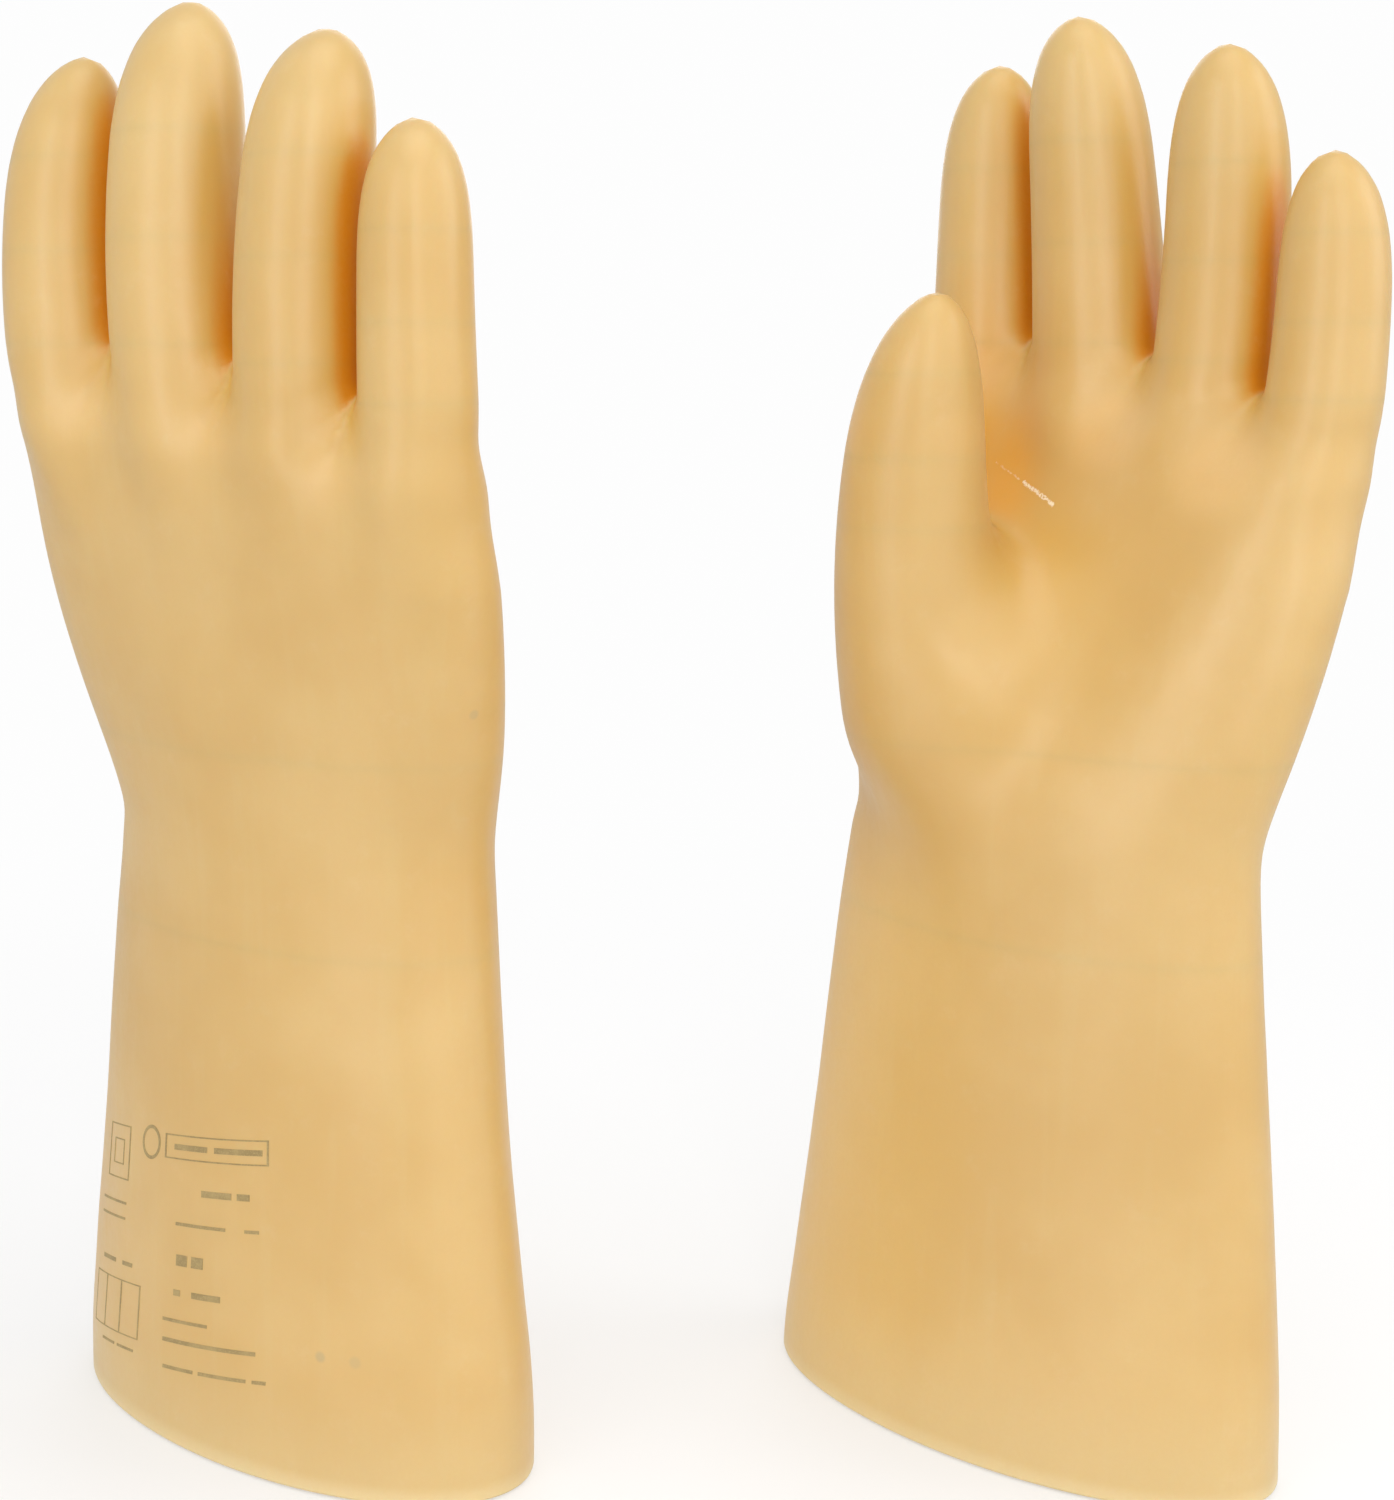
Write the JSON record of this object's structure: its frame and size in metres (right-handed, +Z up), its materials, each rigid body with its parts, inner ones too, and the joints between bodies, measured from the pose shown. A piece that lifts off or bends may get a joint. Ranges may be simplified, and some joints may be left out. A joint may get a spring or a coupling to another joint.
{
  "type": "electrical insulating gloves",
  "caption": "Pair of long rubber insulating gloves with flared gauntlet cuffs, curved hands and opposed thumbs, standing on their open cuff edges.",
  "frame": {"origin": "centre of the pair's footprint box, on the plane of the cuff edges they stand on", "axes": "+Z up from the cuff edges towards the fingertips; +X from the thumb side to the little finger side of both gloves; the left glove's palm faces -Y and the right glove's palm faces +Y"},
  "size_m": [0.3, 0.2226, 0.3582],
  "materials": {
    "gauntlet_rubber": "satin",
    "hand_rubber": "satin",
    "stall_rubber": "satin"
  },
  "bodies": {
    "left_gauntlet": {"left_gauntlet": "gauntlet_rubber"},
    "left_hand": {"left_hand": "hand_rubber"},
    "left_thumb_base": {"left_thumb_base": "stall_rubber"},
    "left_thumb_tip": {"left_thumb_tip": "stall_rubber"},
    "left_index_base": {"left_index_base": "stall_rubber"},
    "left_index_tip": {"left_index_tip": "stall_rubber"},
    "left_middle_base": {"left_middle_base": "stall_rubber"},
    "left_middle_tip": {"left_middle_tip": "stall_rubber"},
    "left_ring_base": {"left_ring_base": "stall_rubber"},
    "left_ring_tip": {"left_ring_tip": "stall_rubber"},
    "left_little_base": {"left_little_base": "stall_rubber"},
    "left_little_tip": {"left_little_tip": "stall_rubber"},
    "right_gauntlet": {"right_gauntlet": "gauntlet_rubber"},
    "right_hand": {"right_hand": "hand_rubber"},
    "right_thumb_base": {"right_thumb_base": "stall_rubber"},
    "right_thumb_tip": {"right_thumb_tip": "stall_rubber"},
    "right_index_base": {"right_index_base": "stall_rubber"},
    "right_index_tip": {"right_index_tip": "stall_rubber"},
    "right_middle_base": {"right_middle_base": "stall_rubber"},
    "right_middle_tip": {"right_middle_tip": "stall_rubber"},
    "right_ring_base": {"right_ring_base": "stall_rubber"},
    "right_ring_tip": {"right_ring_tip": "stall_rubber"},
    "right_little_base": {"right_little_base": "stall_rubber"},
    "right_little_tip": {"right_little_tip": "stall_rubber"}
  },
  "joints": [
    {"name": "left_wrist_flex", "type": "hinge", "parent": "left_gauntlet", "child": "left_hand", "pos_m": [0.07356, 0.06225, 0.158], "axis": [0.9973, -0.0732, 0], "range_deg": [-28, 28], "stiffness_Nm_per_rad": 1.5},
    {"name": "left_thumb_base_bend", "type": "hinge", "parent": "left_hand", "child": "left_thumb_base", "pos_m": [0.06678, 0.04262, 0.235], "axis": [-0.309, 0.9511, 0], "range_deg": [0, 24], "stiffness_Nm_per_rad": 0.12},
    {"name": "left_thumb_tip_bend", "type": "hinge", "parent": "left_thumb_base", "child": "left_thumb_tip", "pos_m": [0.06796, 0.03805, 0.262], "axis": [-0.309, 0.9511, 0], "range_deg": [0, 40], "stiffness_Nm_per_rad": 0.06},
    {"name": "left_index_base_bend", "type": "hinge", "parent": "left_hand", "child": "left_index_base", "pos_m": [0.02928, 0.07816, 0.279], "axis": [0.9854, -0.1702, 0], "range_deg": [0, 52], "stiffness_Nm_per_rad": 0.12},
    {"name": "left_index_tip_bend", "type": "hinge", "parent": "left_index_base", "child": "left_index_tip", "pos_m": [0.02889, 0.07977, 0.312], "axis": [0.9854, -0.1702, 0], "range_deg": [0, 58], "stiffness_Nm_per_rad": 0.06},
    {"name": "left_middle_base_bend", "type": "hinge", "parent": "left_hand", "child": "left_middle_base", "pos_m": [0.06537, 0.07169, 0.279], "axis": [0.9854, -0.1702, 0], "range_deg": [0, 52], "stiffness_Nm_per_rad": 0.12},
    {"name": "left_middle_tip_bend", "type": "hinge", "parent": "left_middle_base", "child": "left_middle_tip", "pos_m": [0.06295, 0.07185, 0.316], "axis": [0.9854, -0.1702, 0], "range_deg": [0, 58], "stiffness_Nm_per_rad": 0.06},
    {"name": "left_ring_base_bend", "type": "hinge", "parent": "left_hand", "child": "left_ring_base", "pos_m": [0.10216, 0.06784, 0.275], "axis": [0.9854, -0.1702, 0], "range_deg": [0, 52], "stiffness_Nm_per_rad": 0.12},
    {"name": "left_ring_tip_bend", "type": "hinge", "parent": "left_ring_base", "child": "left_ring_tip", "pos_m": [0.10368, 0.06804, 0.31], "axis": [0.9854, -0.1702, 0], "range_deg": [0, 58], "stiffness_Nm_per_rad": 0.06},
    {"name": "left_little_base_bend", "type": "hinge", "parent": "left_hand", "child": "left_little_base", "pos_m": [0.1339, 0.06317, 0.2665], "axis": [0.9854, -0.1702, 0], "range_deg": [0, 52], "stiffness_Nm_per_rad": 0.12},
    {"name": "left_little_tip_bend", "type": "hinge", "parent": "left_little_base", "child": "left_little_tip", "pos_m": [0.13495, 0.06452, 0.294], "axis": [0.9854, -0.1702, 0], "range_deg": [0, 58], "stiffness_Nm_per_rad": 0.06},
    {"name": "right_wrist_flex", "type": "hinge", "parent": "right_gauntlet", "child": "right_hand", "pos_m": [-0.06844, -0.06225, 0.158], "axis": [-0.9973, -0.0732, 0], "range_deg": [-28, 28], "stiffness_Nm_per_rad": 1.5},
    {"name": "right_thumb_base_bend", "type": "hinge", "parent": "right_hand", "child": "right_thumb_base", "pos_m": [-0.07522, -0.04262, 0.235], "axis": [0.309, 0.9511, 0], "range_deg": [0, 24], "stiffness_Nm_per_rad": 0.12},
    {"name": "right_thumb_tip_bend", "type": "hinge", "parent": "right_thumb_base", "child": "right_thumb_tip", "pos_m": [-0.07404, -0.03805, 0.262], "axis": [0.309, 0.9511, 0], "range_deg": [0, 40], "stiffness_Nm_per_rad": 0.06},
    {"name": "right_index_base_bend", "type": "hinge", "parent": "right_hand", "child": "right_index_base", "pos_m": [-0.11247, -0.07828, 0.279], "axis": [-0.9854, -0.1702, 0], "range_deg": [0, 52], "stiffness_Nm_per_rad": 0.12},
    {"name": "right_index_tip_bend", "type": "hinge", "parent": "right_index_base", "child": "right_index_tip", "pos_m": [-0.11332, -0.07952, 0.312], "axis": [-0.9854, -0.1702, 0], "range_deg": [0, 58], "stiffness_Nm_per_rad": 0.06},
    {"name": "right_middle_base_bend", "type": "hinge", "parent": "right_hand", "child": "right_middle_base", "pos_m": [-0.07637, -0.07121, 0.279], "axis": [-0.9854, -0.1702, 0], "range_deg": [0, 52], "stiffness_Nm_per_rad": 0.12},
    {"name": "right_middle_tip_bend", "type": "hinge", "parent": "right_middle_base", "child": "right_middle_tip", "pos_m": [-0.07899, -0.07155, 0.316], "axis": [-0.9854, -0.1702, 0], "range_deg": [0, 58], "stiffness_Nm_per_rad": 0.06},
    {"name": "right_ring_base_bend", "type": "hinge", "parent": "right_hand", "child": "right_ring_base", "pos_m": [-0.03936, -0.0674, 0.275], "axis": [-0.9854, -0.1702, 0], "range_deg": [0, 52], "stiffness_Nm_per_rad": 0.12},
    {"name": "right_ring_tip_bend", "type": "hinge", "parent": "right_ring_base", "child": "right_ring_tip", "pos_m": [-0.03799, -0.06749, 0.31], "axis": [-0.9854, -0.1702, 0], "range_deg": [0, 58], "stiffness_Nm_per_rad": 0.06},
    {"name": "right_little_base_bend", "type": "hinge", "parent": "right_hand", "child": "right_little_base", "pos_m": [-0.00798, -0.06319, 0.2665], "axis": [-0.9854, -0.1702, 0], "range_deg": [0, 52], "stiffness_Nm_per_rad": 0.12},
    {"name": "right_little_tip_bend", "type": "hinge", "parent": "right_little_base", "child": "right_little_tip", "pos_m": [-0.00717, -0.0644, 0.294], "axis": [-0.9854, -0.1702, 0], "range_deg": [0, 58], "stiffness_Nm_per_rad": 0.06},
    {"name": "pair_stand_apart", "type": "slide", "parent": "left_gauntlet", "child": "right_gauntlet", "axis": [-1, 0, 0], "range_m": [0, 0.12]}
  ]
}
